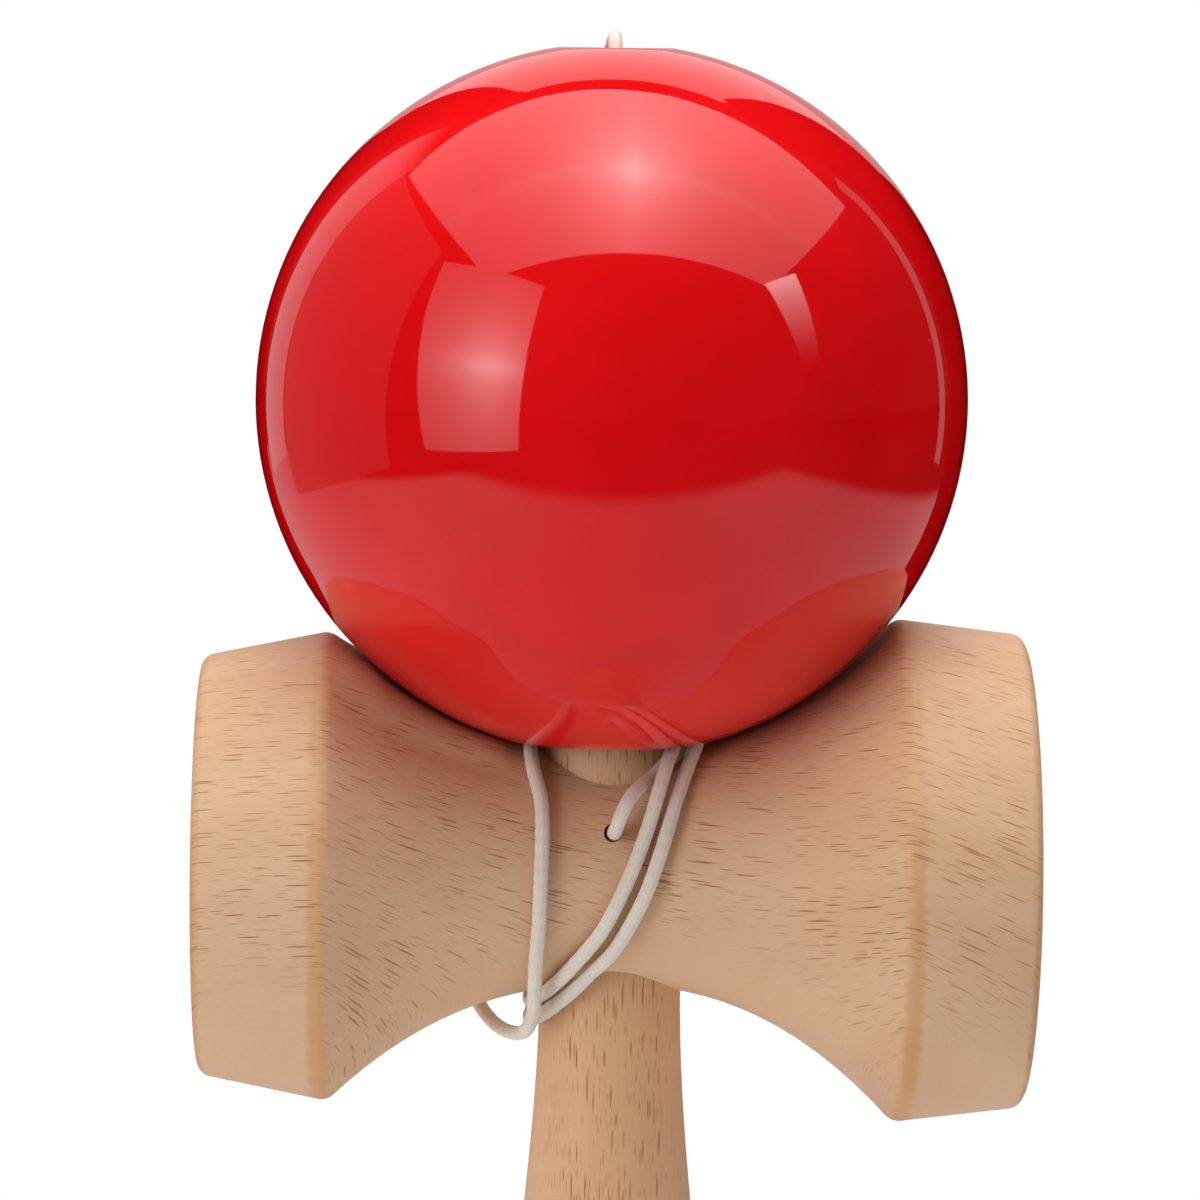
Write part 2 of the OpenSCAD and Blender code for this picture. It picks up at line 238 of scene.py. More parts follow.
through_run = hole_mouth_y + THROUGH_END - knot_face_y
through = [
    Vector((0, knot_face_y + through_run * i / THROUGH_STEPS, HOLE_H))
    for i in range(THROUGH_STEPS + 1)
]
hole_mouth = Vector((0, hole_mouth_y, HOLE_H))
leaving = [hole_mouth + Vector(place) for place in LEAVING_PLACES]
tail = [Vector(place) + Vector((0, 0, AXIS_H)) for place in TAIL_PLACES]
top_heights = [(CHAMBER_ROOF + BALL_TOP) / 2, CHAMBER_ROOF, bead_h, string_end_h]
route = (
    through
    + leaving
    + [wrap_place(*turn) for turn in WRAP_TURNS]
    + tail
    + [over_place(*turn) for turn in OVER_TURNS]
    + [mouth_place(90 * i / BEND_STEPS) for i in range(BEND_STEPS + 1)]
    + [ball_middle + Vector((0, 0, height)) for height in top_heights]
)
print(len(route), "points on the route")


# %% [markdown]
# A curve through all the points comes from Catmull-Rom blending: each stretch bends so that it
# agrees with its neighbours. It is then walked in equal steps, because the braid on the string
# has to keep its size all the way along.

# %% Smooth the route and walk it
STEPS_PER_STRETCH = 12
WALK_STEP = 0.24


def smooth(points):
    """A smooth curve through the points."""
    curve = []
    for i in range(len(points) - 1):
        before = points[i - 1] if i else 2 * points[0] - points[1]
        after = points[i + 2] if i + 2 < len(points) else 2 * points[-1] - points[-2]
        a, b = points[i], points[i + 1]
        for k in range(STEPS_PER_STRETCH):
            t = k / STEPS_PER_STRETCH
            bend = (2 * before - 5 * a + 4 * b - after) * t * t
            turn = (3 * a - before - 3 * b + after) * t ** 3
            curve.append((2 * a + (b - before) * t + bend + turn) / 2)
    curve.append(points[-1])
    return curve


def walk(points, step):
    """Points at equal steps along a curve, and the curve's length."""
    lengths = [(b - a).length for a, b in zip(points, points[1:])]
    count = max(2, round(sum(lengths) / step))
    spacing = sum(lengths) / count
    places = [points[0]]
    done = 0.0
    for a, b, length in zip(points, points[1:], lengths):
        while len(places) < count and len(places) * spacing <= done + length:
            places.append(a.lerp(b, (len(places) * spacing - done) / length))
        done += length
    places.append(points[-1])
    return places, done


string_path, string_length = walk(smooth(route), WALK_STEP)
print("string", round(string_length, 1), "mm in", len(string_path), "steps")


# %% [markdown]
# ## The string
# A braided cord is a tube with fine strands that cross over each other. The tube starts as a
# flat grid, one row for each step of the route and one column for each side, and every vertex
# is moved to its place round the route. A frame carried along the route without twisting keeps
# the columns straight. The braid is in the mesh: ten strands, five each way, swell the tube a
# little where they come to the top, so the string's edge looks soft close up.

# %% Sweep the string
STRING_SIDES = 24
BRAID_STRANDS = 5
BRAID_PITCH = 2.4
BRAID_RELIEF = 0.025
SHARP_ANGLE = math.radians(40)
MERGE_DISTANCE = 1e-7


def make_object(name, bm):
    """A new object from a bmesh, in the scene, with smooth faces and sharp edges where it turns."""
    mesh = bpy.data.meshes.new(name)
    bm.to_mesh(mesh)
    bm.free()
    mesh.polygons.foreach_set("use_smooth", [True] * len(mesh.polygons))
    mesh.set_sharp_from_angle(angle=SHARP_ANGLE)
    thing = bpy.data.objects.new(name, mesh)
    bpy.context.scene.collection.objects.link(thing)
    return thing


def carried_frames(path):
    """A direction along, across and up for each point of a path, with no twist."""
    frames = []
    across = Vector((0, 0, 1))
    for i in range(len(path)):
        along = (path[min(i + 1, len(path) - 1)] - path[max(i - 1, 0)]).normalized()
        across = (across - across.dot(along) * along).normalized()
        frames.append((along, across, along.cross(across)))
    return frames


def braid_relief(distance, turn):
    """How far a braid's surface stands out, from -1 to 1."""
    slope = 2 * math.pi * distance / BRAID_PITCH
    strand = BRAID_STRANDS * turn
    return math.cos(strand + slope) * math.cos(strand - slope)


def sweep(name, path, length, radius, sides):
    """A braided tube along a path in millimetres."""
    bm = bmesh.new()
    bm.loops.layers.uv.new("along_string")
    rows = len(path) - 1
    bmesh.ops.create_grid(bm, x_segments=rows, y_segments=sides, size=1, calc_uvs=True)
    frames = carried_frames(path)
    for vert in bm.verts:
        row = round((vert.co.x + 1) / 2 * rows)
        turn = math.pi * (vert.co.y + 1)
        along, across, up = frames[row]
        reach = radius * (1 + BRAID_RELIEF * braid_relief(length * row / rows, turn))
        vert.co = (path[row] + reach * (math.cos(turn) * across + math.sin(turn) * up)) * MM
    bmesh.ops.remove_doubles(bm, verts=bm.verts, dist=MERGE_DISTANCE)
    open_edges = [edge for edge in bm.edges if edge.is_boundary]
    bmesh.ops.holes_fill(bm, edges=open_edges, sides=sides)
    bmesh.ops.recalc_face_normals(bm, faces=bm.faces)
    return make_object(name, bm)


string = sweep("string", string_path, string_length, STRING_R, STRING_SIDES)
print("string faces", len(string.data.polygons))


# %% [markdown]
# ## Turned pieces
# The handle, the crosspiece, the ball and the bead are all made on a lathe, and Spin is the
# lathe of a mesh: an outline of a few points goes round an axis. Where an outline meets the
# axis the spin leaves many vertices in one place, so these are merged, and then the normals
# are recalculated. The edges that a turner eases with sandpaper are beveled afterwards.

# %% A lathe
SPIN_STEPS = 144
RING_NEAR = 0.01
AXES = {"X": Vector((1, 0, 0)), "Y": Vector((0, 1, 0)), "Z": Vector((0, 0, 1))}
RADIAL = {"X": Vector((0, -1, 0)), "Y": Vector((1, 0, 0)), "Z": Vector((0, -1, 0))}


def arc(centre, radius, start, end, steps):
    """Points [across, along] on an arc, with angles in degrees from across."""
    turns = [math.radians(start + (end - start) * i / steps) for i in range(steps + 1)]
    return [(centre[0] + radius * math.cos(t), centre[1] + radius * math.sin(t)) for t in turns]


def dish(edge, depth, steps=14):
    """A dish from its middle to its edge, as [across, depth below the rim]."""
    radius = rise_radius(edge, depth)
    sweep_angle = math.asin(edge / radius)
    turns = [sweep_angle * i / steps for i in range(steps + 1)]
    return [(radius * math.sin(t), depth - radius * (1 - math.cos(t))) for t in turns]


def swell(start, end, steps=18):
    """A smooth swell from one [across, along] to another, without its last point."""
    shares = [i / steps for i in range(steps)]
    ease = [(1 - math.cos(math.pi * t)) / 2 for t in shares]
    return [
        (start[0] + (end[0] - start[0]) * e, start[1] + (end[1] - start[1]) * t)
        for e, t in zip(ease, shares)
    ]


def turn_on_lathe(outline, axis, middle, closed=False, steps=SPIN_STEPS):
    """A bmesh of an outline, in millimetres, spun round an axis through middle."""
    bm = bmesh.new()
    verts = [bm.verts.new((middle + RADIAL[axis] * r + AXES[axis] * h) * MM) for r, h in outline]
    pairs = list(zip(verts, verts[1:])) + ([(verts[-1], verts[0])] if closed else [])
    edges = [bm.edges.new(pair) for pair in pairs]
    bmesh.ops.spin(
        bm, geom=verts + edges, cent=middle * MM, axis=AXES[axis],
        angle=2 * math.pi, steps=steps, use_merge=True,
    )
    bmesh.ops.remove_doubles(bm, verts=bm.verts, dist=MERGE_DISTANCE)
    bmesh.ops.recalc_face_normals(bm, faces=bm.faces)
    return bm


def ease_ring(bm, axis, middle, place, width, segments=5):
    """Bevels the ring edge at one [across, along] of a turned piece."""
    def on_ring(vert):
        away = vert.co / MM - middle
        along = away.dot(AXES[axis])
        across = (away - along * AXES[axis]).length
        return abs(along - place[1]) < RING_NEAR and abs(across - place[0]) < RING_NEAR
    ring = [edge for edge in bm.edges if all(on_ring(vert) for vert in edge.verts)]
    bmesh.ops.bevel(
        bm, geom=ring, offset=width * MM, offset_type="OFFSET", segments=segments,
        profile=0.5, affect="EDGES", material=-1, clamp_overlap=False,
    )


def drill(thing, cutter_bm):
    """Cuts a closed shape out of a piece for good."""
    cutter = make_object("cutter", cutter_bm)
    cut = thing.modifiers.new("hole", "BOOLEAN")
    cut.operation = "DIFFERENCE"
    cut.solver = "EXACT"
    cut.object = cutter
    drilled = thing.evaluated_get(bpy.context.evaluated_depsgraph_get())
    old_mesh = thing.data
    mesh = bpy.data.meshes.new_from_object(drilled)
    thing.modifiers.clear()
    thing.data = mesh
    bpy.data.meshes.remove(old_mesh)
    bpy.data.objects.remove(cutter)
    mesh.set_sharp_from_angle(angle=SHARP_ANGLE)


print("lathe with", SPIN_STEPS, "steps a turn")


# %% [markdown]
# ## The crosspiece
# One piece of beech with a cup turned in each end. Its outline goes from the bottom of the
# small cup, over that cup's rim and ridge, down to the waist and up again to the big cup. The
# ridges and rims of the real one are rubbed round, so their rings are beveled. In the
# photograph no light shows between the ball and the small cup's side, so right under the ball
# that side is fuller than a true turning, by 0.4 mm at most.

# %% Turn the crosspiece
WAIST_STEPS = 15
RIDGE_EASE = 0.65
RIM_EASE = 0.95
FULLER_SIDE = (-24.0, -9.0)
FULLER_EASE = 3.6
FULLER_FROM = 0.8
BALL_CLEAR = 0.06


def cup_side(side, ridge_r, rim_r, depth):
    """Half of the crosspiece's outline, from the waist to the cup's middle."""
    places = [side * RIDGE_REACH * i / WAIST_STEPS for i in range(WAIST_STEPS)]
    waist = [(waist_at(x), x) for x in places]
    edge = [(ridge_r, side * RIDGE_REACH), (rim_r, side * CUP_REACH)]
    hollow = [(r, side * (CUP_REACH - h)) for r, h in reversed(dish(rim_r - RIM_W, depth))]
    return waist + edge + hollow


def smooth_step(share):
    """A share that starts and ends gently."""
    share = min(1.0, max(0.0, share))
    return share * share * (3 - 2 * share)


def fill_under_ball(bm, middle):
    """Raises the top of the small cup's side until it all but meets the ball."""
    for vert in bm.verts:
        away = vert.co / MM - middle
        across = Vector((0, away.y, away.z))
        if not FULLER_SIDE[0] < away.x < FULLER_SIDE[1] or across.length == 0:
            continue
        on_top = smooth_step((across.z / across.length - FULLER_FROM) / (1 - FULLER_FROM))
        inward = smooth_step((away.x - FULLER_SIDE[0]) / FULLER_EASE)
        gap = (vert.co / MM - ball_middle).length - BALL_R - BALL_CLEAR
        vert.co += across.normalized() * max(0.0, gap) * on_top * inward * MM


small_side = cup_side(-1, SMALL_RIDGE_R, SMALL_RIM_R, SMALL_CUP_DEPTH)
big_side = cup_side(1, BIG_RIDGE_R, BIG_RIM_R, BIG_CUP_DEPTH)
cross_middle = Vector((0, 0, AXIS_H))
cross_bm = turn_on_lathe(small_side[:0:-1] + big_side, "X", cross_middle)
for side, ridge_r, rim_r in ((-1, SMALL_RIDGE_R, SMALL_RIM_R), (1, BIG_RIDGE_R, BIG_RIM_R)):
    ease_ring(cross_bm, "X", cross_middle, (ridge_r, side * RIDGE_REACH), RIDGE_EASE)
    ease_ring(cross_bm, "X", cross_middle, (rim_r, side * CUP_REACH), RIM_EASE)
    ease_ring(cross_bm, "X", cross_middle, (rim_r - RIM_W, side * CUP_REACH), RIM_EASE)
fill_under_ball(cross_bm, cross_middle)
crosspiece = make_object("cup_crosspiece_turned", cross_bm)
print("crosspiece faces", len(crosspiece.data.polygons))

# %% [markdown]
# The crosspiece is drilled twice: upright for the handle, and from the front for the string.
# The wood has closed up round the string, so its hole is hardly wider than the string there.

# %% Drill the crosspiece
MOUTH_WOOD_R = 0.74
MOUTH_SHIFT = -0.1
MOUTH_SIDES = 48
CUT_CLEAR = 3.0


def rod(radius, start, end):
    """The outline of a plain rod, from one end to the other."""
    return [(0, start), (radius, start), (radius, end), (0, end)]


seat_cut = rod(SEAT_R + PRESS_GAP, -2 * WAIST_R, 2 * WAIST_R)
drill(crosspiece, turn_on_lathe(seat_cut, "Z", cross_middle))
front_cut = rod(MOUTH_WOOD_R, hole_mouth_y - CUT_CLEAR, -SEAT_R / 2)
front_middle = Vector((MOUTH_SHIFT, 0, HOLE_H))
drill(crosspiece, turn_on_lathe(front_cut, "Y", front_middle, steps=MOUTH_SIDES))
print("drilled crosspiece faces", len(crosspiece.data.polygons))


# %% [markdown]
# ## The handle
# One turned piece too: the base cup that the toy stands on, a slim neck, a grip that swells, the
# straight seat for the crosspiece and the tapered spike with its round tip. The photograph
# stops at the grip, so what is below follows the usual shape of such a handle.

# %% Turn the handle
SPIKE_H = 47.0
SPIKE_TIP_R = 4.2
TIP_SHARE = 0.8
GRIP_R = 8.9
GRIP_H = 52.0
NECK_R = 6.5
NECK_H = 28.0
BASE_RIDGE_R = 19.3
BASE_RIDGE_H = 7.0
BASE_RIM_R = 18.3
BASE_RIM_W = 3.4
BASE_CUP_DEPTH = 7.5
BASE_RIM_EASE = 0.7
FLARE_STEPS = 14
TIP_STEPS = 10
RECESS_GAP = 0.5
HOLE_SIDES = 32

flare_radius = rise_radius(NECK_H - BASE_RIDGE_H, BASE_RIDGE_R - NECK_R)
flare_drops = [(NECK_H - BASE_RIDGE_H) * (1 - i / FLARE_STEPS) for i in range(1, FLARE_STEPS)]
flare_line = [
    (NECK_R + flare_radius - math.sqrt(flare_radius ** 2 - drop * drop), NECK_H - drop)
    for drop in flare_drops
]
tip_radius = rise_radius(SPIKE_TIP_R, SPIKE_TIP_R * TIP_SHARE)
tip_angle = math.degrees(math.asin(SPIKE_TIP_R / tip_radius))
tip_line = arc((0, AXIS_H + SPIKE_H - tip_radius), tip_radius, 90 - tip_angle, 90, TIP_STEPS)
handle_line = (
    dish(BASE_RIM_R - BASE_RIM_W, BASE_CUP_DEPTH)
    + [(BASE_RIM_R, 0), (BASE_RIDGE_R, BASE_RIDGE_H)]
    + flare_line
    + swell((NECK_R, NECK_H), (GRIP_R, GRIP_H))
    + swell((GRIP_R, GRIP_H), (SEAT_R, AXIS_H - WAIST_R))
    + [(SEAT_R, AXIS_H - WAIST_R), (SEAT_R, AXIS_H + WAIST_R)]
    + tip_line
)
origin = Vector((0, 0, 0))
handle_bm = turn_on_lathe(handle_line, "Z", origin)
ease_ring(handle_bm, "Z", origin, (BASE_RIDGE_R, BASE_RIDGE_H), RIDGE_EASE)
ease_ring(handle_bm, "Z", origin, (BASE_RIM_R, 0), BASE_RIM_EASE)
ease_ring(handle_bm, "Z", origin, (BASE_RIM_R - BASE_RIM_W, 0), BASE_RIM_EASE)
handle = make_object("handle_turned", handle_bm)
recess_floor = SEAT_R - 2 * KNOT_R
recess_r = KNOT_R + RECESS_GAP
bore_reach = 2 * SEAT_R
bore_line = [
    (0, -bore_reach), (HOLE_R, -bore_reach), (HOLE_R, recess_floor),
    (recess_r, recess_floor), (recess_r, bore_reach), (0, bore_reach),
]
drill(handle, turn_on_lathe(bore_line, "Y", Vector((0, 0, HOLE_H)), steps=HOLE_SIDES))
print("handle faces", len(handle.data.polygons))


# %% [markdown]
# ## The ball
# A ball with a wide bore from below for the spike, a chamber for the bead that holds the string,
# and a small hole at the top. Its outline is a closed loop, so the spin makes one closed skin
# that goes in through the bore and out through the string's hole. The bore's lip is cut back
# and the top hole's is beveled: on lacquered wood an edge is never sharp.

# %% Turn the ball
BALL_STEPS = 64
LIP_SHARE = 0.3
MOUTH_SEGMENTS = 8

taper_start = BORE_END - (BORE_R - CHAMBER_R)
flat_angle = math.degrees(math.asin(BALL_TOP / BALL_R))
lip_ease = BORE_LIP * LIP_SHARE
lip_angle = math.degrees(math.acos((BORE_R + lip_ease) / BALL_R))
ball_skin = arc((0, 0), BALL_R, -lip_angle, flat_angle, BALL_STEPS)
ball_hollow = [
    (HOLE_R, BALL_TOP), (HOLE_R, CHAMBER_ROOF), (CHAMBER_R, CHAMBER_ROOF),
    (CHAMBER_R, BORE_END), (BORE_R, taper_start), (BORE_R, ball_skin[0][1] + lip_ease),
]
ball_bm = turn_on_lathe(ball_skin + ball_hollow, "Z", ball_middle, closed=True)
ease_ring(ball_bm, "Z", ball_middle, ball_hollow[0], MOUTH_ROUND, segments=MOUTH_SEGMENTS)
ball = make_object("ball_lacquered", ball_bm)
print("ball faces", len(ball.data.polygons))


# %% [markdown]
# ## The bead and the knots
# Inside the ball the string goes through a wooden bead and ends in a knot under it, so that the
# ball can turn without twisting the string. The other end has its knot in the handle. A knot
# pulled tight is a short barrel of turns, and a turned outline with a bulge for each turn
# gives that.

# %% Make the bead and the knots
BEAD_SIDES = 64
BEAD_STEPS = 24
KNOT_SIDES = 48
KNOT_TURNS = 2
BULGE_STEPS = 8
BEAD_KNOT_LENGTH = 1.5 * KNOT_R
HANDLE_KNOT_LENGTH = 1.75 * KNOT_R

bead_hole = math.degrees(math.acos(HOLE_R / BEAD_R))
bead_line = arc((0, 0), BEAD_R, -bead_hole, bead_hole, BEAD_STEPS)
bead_middle = ball_middle + Vector((0, 0, bead_h))
bead_bm = turn_on_lathe(bead_line, "Z", bead_middle, closed=True, steps=BEAD_SIDES)
bead = make_object("ball_bead_turned", bead_bm)


def barrel_knot(name, axis, start, length):
    """A tight knot: a barrel with one bulge for each turn of the string."""
    bulge = length / KNOT_TURNS / 2
    line = [(0, 0)]
    for i in range(KNOT_TURNS):
        line += arc((KNOT_R - bulge, bulge * (2 * i + 1)), bulge, -90, 90, BULGE_STEPS)
    line.append((0, length))
    return make_object(name, turn_on_lathe(line, axis, start, steps=KNOT_SIDES))


bead_knot_start = ball_middle + Vector((0, 0, string_end_h - BEAD_KNOT_LENGTH))
bead_knot = barrel_knot("bead_knot_tied", "Z", bead_knot_start, BEAD_KNOT_LENGTH)
handle_knot_start = Vector((0, knot_face_y, HOLE_H))
handle_knot = barrel_knot("handle_knot_tied", "Y", handle_knot_start, HANDLE_KNOT_LENGTH)
print("bead and knots made")


# %% [markdown]
# ## Node helpers
# A material is a small graph. Short helpers keep the graphs readable: some add a node and fill
# its sockets, where a value can be a number or another node's output, some lay noise or cells
# out in millimetres, and others start a material or empty a tree.

# %% Helpers for node trees
def feed(tree, socket, value):
    """Sets a socket to a value, or links another node's output to it."""
    if isinstance(value, bpy.types.NodeSocket):
        tree.links.new(value, socket)
    else:
        socket.default_value = value


def set_inputs(tree, made, inputs):
    """Fills a node's sockets by name."""
    for name, value in inputs.items():
        feed(tree, made.inputs[name], value)


def add(tree, kind, *inputs, **settings):
    """A new node, with its sockets filled in order."""
    made = tree.nodes.new(kind)
    for name, value in settings.items():
        setattr(made, name, value)
    sockets = [socket for socket in made.inputs if socket.enabled]
    for socket, value in zip(sockets, inputs):
        feed(tree, socket, value)
    return made


def math_node(tree, operation, *inputs):
    """The output of a Math node."""
    return add(tree, "ShaderNodeMath", *inputs, operation=operation).outputs[0]


def ramp_between(tree, value, low, high):
    """A value mapped smoothly so that low gives 0 and high gives 1."""
    made = add(tree, "ShaderNodeMapRange", value, low, high, 0.0, 1.0, interpolation_type="SMOOTHSTEP")
    return made.outputs[0]


def mix_colour(tree, share, first, second):
    """The output of a colour Mix node."""
    made = add(tree, "ShaderNodeMix", share, first, second, data_type="RGBA")
    return next(socket for socket in made.outputs if socket.enabled)


def stretched_texture(tree, kind, place, size):
    """A texture node whose grains or cells have a size in millimetres along each axis."""
    scale = tuple(1 / (length * MM) for length in size)
    mapping = tree.nodes.new("ShaderNodeMapping")
    set_inputs(tree, mapping, {"Vector": place, "Scale": scale})
    made = tree.nodes.new(kind)
    set_inputs(tree, made, {"Vector": mapping.outputs[0], "Scale": 1.0})
    return made


def stretched_cells(tree, place, size):
    """Cells of one size: the distance to a cell's middle, and three chances for each cell."""
    made = stretched_texture(tree, "ShaderNodeTexVoronoi", place, size)
    chances = add(tree, "ShaderNodeSeparateColor", made.outputs["Color"]).outputs
    return made.outputs["Distance"], chances


def stretched_noise(tree, place, size, detail=1.0, roughness=0.5):
    """Noise whose grains have one size."""
    made = stretched_texture(tree, "ShaderNodeTexNoise", place, size)
    set_inputs(tree, made, {"Detail": detail, "Roughness": roughness})
    return made.outputs[0]


def set_bump(tree, shader, height, strength, depth):
    """Bumps a shader's surface by a height, with a depth in millimetres."""
    bump = tree.nodes.new("ShaderNodeBump")
    set_inputs(tree, bump, {"Strength": strength, "Distance": depth * MM, "Height": height})
    tree.links.new(bump.outputs[0], shader.inputs["Normal"])


def new_material(name):
    """A material, its tree, its Principled shader and its Object coordinates."""
    material = bpy.data.materials.new(name)
    material.use_nodes = True
    tree = material.node_tree
    shader = next(n for n in tree.nodes if n.type == "BSDF_PRINCIPLED")
    place = tree.nodes.new("ShaderNodeTexCoord").outputs["Object"]
    return material, tree, shader, place


def bare_tree(owner):
    """The emptied node tree of a material or a world."""
    owner.use_nodes = True
    owner.node_tree.nodes.clear()
    return owner.node_tree


print("node helpers ready")


# %% [markdown]
# ## Beech
# Beech is a pale, warm wood known by its flecks. They are sheets of ray cells, each a millimetre
# or two high along the grain and very thin. A surface that cuts across the sheets shows them as
# short dark dashes. A pattern of cells stretched to a sheet's three lengths, with one rounded
# sheet in each cell, makes dashes on the sides of a turned piece and fine lines in the end grain
# of the cups, as in the real wood. One group serves the handle, the crosspiece and the bead,
# which each lay the pattern along their own grain.

# %% Build the beech group
NOISE_RANGE = (0.3, 0.7)
PATCH_SIZE = (9, 9, 4)
TONE_SIZE = (60, 20, 7)
FIBRE_SIZE = (3, 0.14, 0.12)
BOLD_CELL = (4.2, 4.6, 0.25)
FAINT_CELL = (2.6, 3, 0.17)
FAINT_SHARE = 0.6
SHEET_CORE = 0.5
LEAST_DARK = 0.45
MORE_DARK = 0.5
LEAST_CROWD = 0.9
MORE_CROWD = 0.2


def ray_sheets(tree, place, cell, least, spread, crowd):
    """A mask of flecks: one sheet in each cell, where a cell has three lengths in millimetres."""
    distance, chance = stretched_cells(tree, place, cell)
    reach = math_node(tree, "MULTIPLY_ADD", chance[0], spread, least)
    reach = math_node(tree, "MULTIPLY", reach, crowd)
    nearness = math_node(tree, "DIVIDE", distance, reach)
    sheet = ramp_between(tree, nearness, 1.0, SHEET_CORE)
    darkness = math_node(tree, "MULTIPLY_ADD", chance[1], MORE_DARK, LEAST_DARK)
    return math_node(tree, "MULTIPLY", sheet, darkness)


beech = bpy.data.node_groups.new("beech_grain", "ShaderNodeTree")
beech.interface.new_socket("Place", in_out="INPUT", socket_type="NodeSocketVector")
place = beech.nodes.new("NodeGroupInput").outputs["Place"]
patchy = ramp_between(beech, stretched_noise(beech, place, PATCH_SIZE), *NOISE_RANGE)
crowd = math_node(beech, "MULTIPLY_ADD", patchy, MORE_CROWD, LEAST_CROWD)
bold = ray_sheets(beech, place, BOLD_CELL, least=0.17, spread=0.19, crowd=crowd)
faint = ray_sheets(beech, place, FAINT_CELL, least=0.18, spread=0.17, crowd=crowd)
flecks = math_node(beech, "MAXIMUM", bold, math_node(beech, "MULTIPLY", faint, FAINT_SHARE))
broad = stretched_noise(beech, place, TONE_SIZE, detail=2.0)
fibre = stretched_noise(beech, place, FIBRE_SIZE, detail=2.0, roughness=0.6)
masks = {"Flecks": flecks, "Tone": broad, "Fibre": fibre}
for name in masks:
    beech.interface.new_socket(name, in_out="OUTPUT", socket_type="NodeSocketFloat")
set_inputs(beech, beech.nodes.new("NodeGroupOutput"), masks)
print("beech group", len(beech.nodes), "nodes")

# %% [markdown]
# Each beech material takes the group's masks and turns them into colour, gloss and a very fine
# bump. The crosspiece was cut a little off the true, so its grain tilts, slopes and bows: its
# flecks lie level at the left end and run down at the right. Where a ridge is rubbed by hands
# and by the lathe, the wood is darker and more orange, in a band with a ragged edge, so each
# material also says where its ridges are.

# %% Make the beech materials
CROSSPIECE_PALE = (0.78, 0.51, 0.315, 1)
CROSSPIECE_DEEP = (0.725, 0.452, 0.267, 1)
HANDLE_PALE = (0.85, 0.525, 0.31, 1)
HANDLE_DEEP = (0.75, 0.435, 0.235, 1)
BEECH_FLECK = (0.36, 0.12, 0.025, 1)
BEECH_BURNISH = (0.68, 0.33, 0.12, 1)
FLAT_TO_SHEETS = 0.95
SQUARE_TO_SHEETS = 0.6
FIBRE_SHARE = 0.35
FIBRE_ROUGHNESS = 0.12
BEECH_ROUGHNESS = 0.46
FLECK_HEIGHT = -0.2
BAND_EDGE = 0.8
RAGGED_SIZE = (3, 0.6, 0.6)
RAGGED_REACH = 1.0
WORN_SIZE = (9, 9, 9)
WORN_PATCHES = 0.3
WORN_LEAST = 0.2
# The ridge bands are stronger below the crosspiece's axis, from the first height to the second
BAND_LOW_DOWN = 0.4
BAND_HEIGHTS = (AXIS_H + 10, AXIS_H - 3)


def lay_grain(tree, axes, order, tilt=0.0, slope=0.0, bow=0.0):
    """A place with X along the grain and Y along the rays, from the axes in that order."""
    along, rays, across = (axes[i] for i in order)
    bend = math_node(tree, "MULTIPLY_ADD", along, bow, slope)
    across = math_node(tree, "MULTIPLY_ADD", rays, tilt, across)
    across = math_node(tree, "MULTIPLY_ADD", along, bend, across)
    return add(tree, "ShaderNodeCombineXYZ", along, rays, across).outputs[0]


def cut_across(tree, spot, order, tilt=0.0, slope=0.0, bow=0.0):
    """How squarely a surface cuts the sheets, from 0 where it lies flat along them to 1."""
    across = Vector((0, 0, 0))
    for axis, share in zip(order, (slope, tilt, 1.0)):
        across[axis] = share
    normal = spot.node.outputs["Normal"]
    facing = add(tree, "ShaderNodeVectorMath", normal, across.normalized(), operation="DOT_PRODUCT")
    lying = math_node(tree, "ABSOLUTE", facing.outputs["Value"])
    return ramp_between(tree, lying, FLAT_TO_SHEETS, SQUARE_TO_SHEETS)


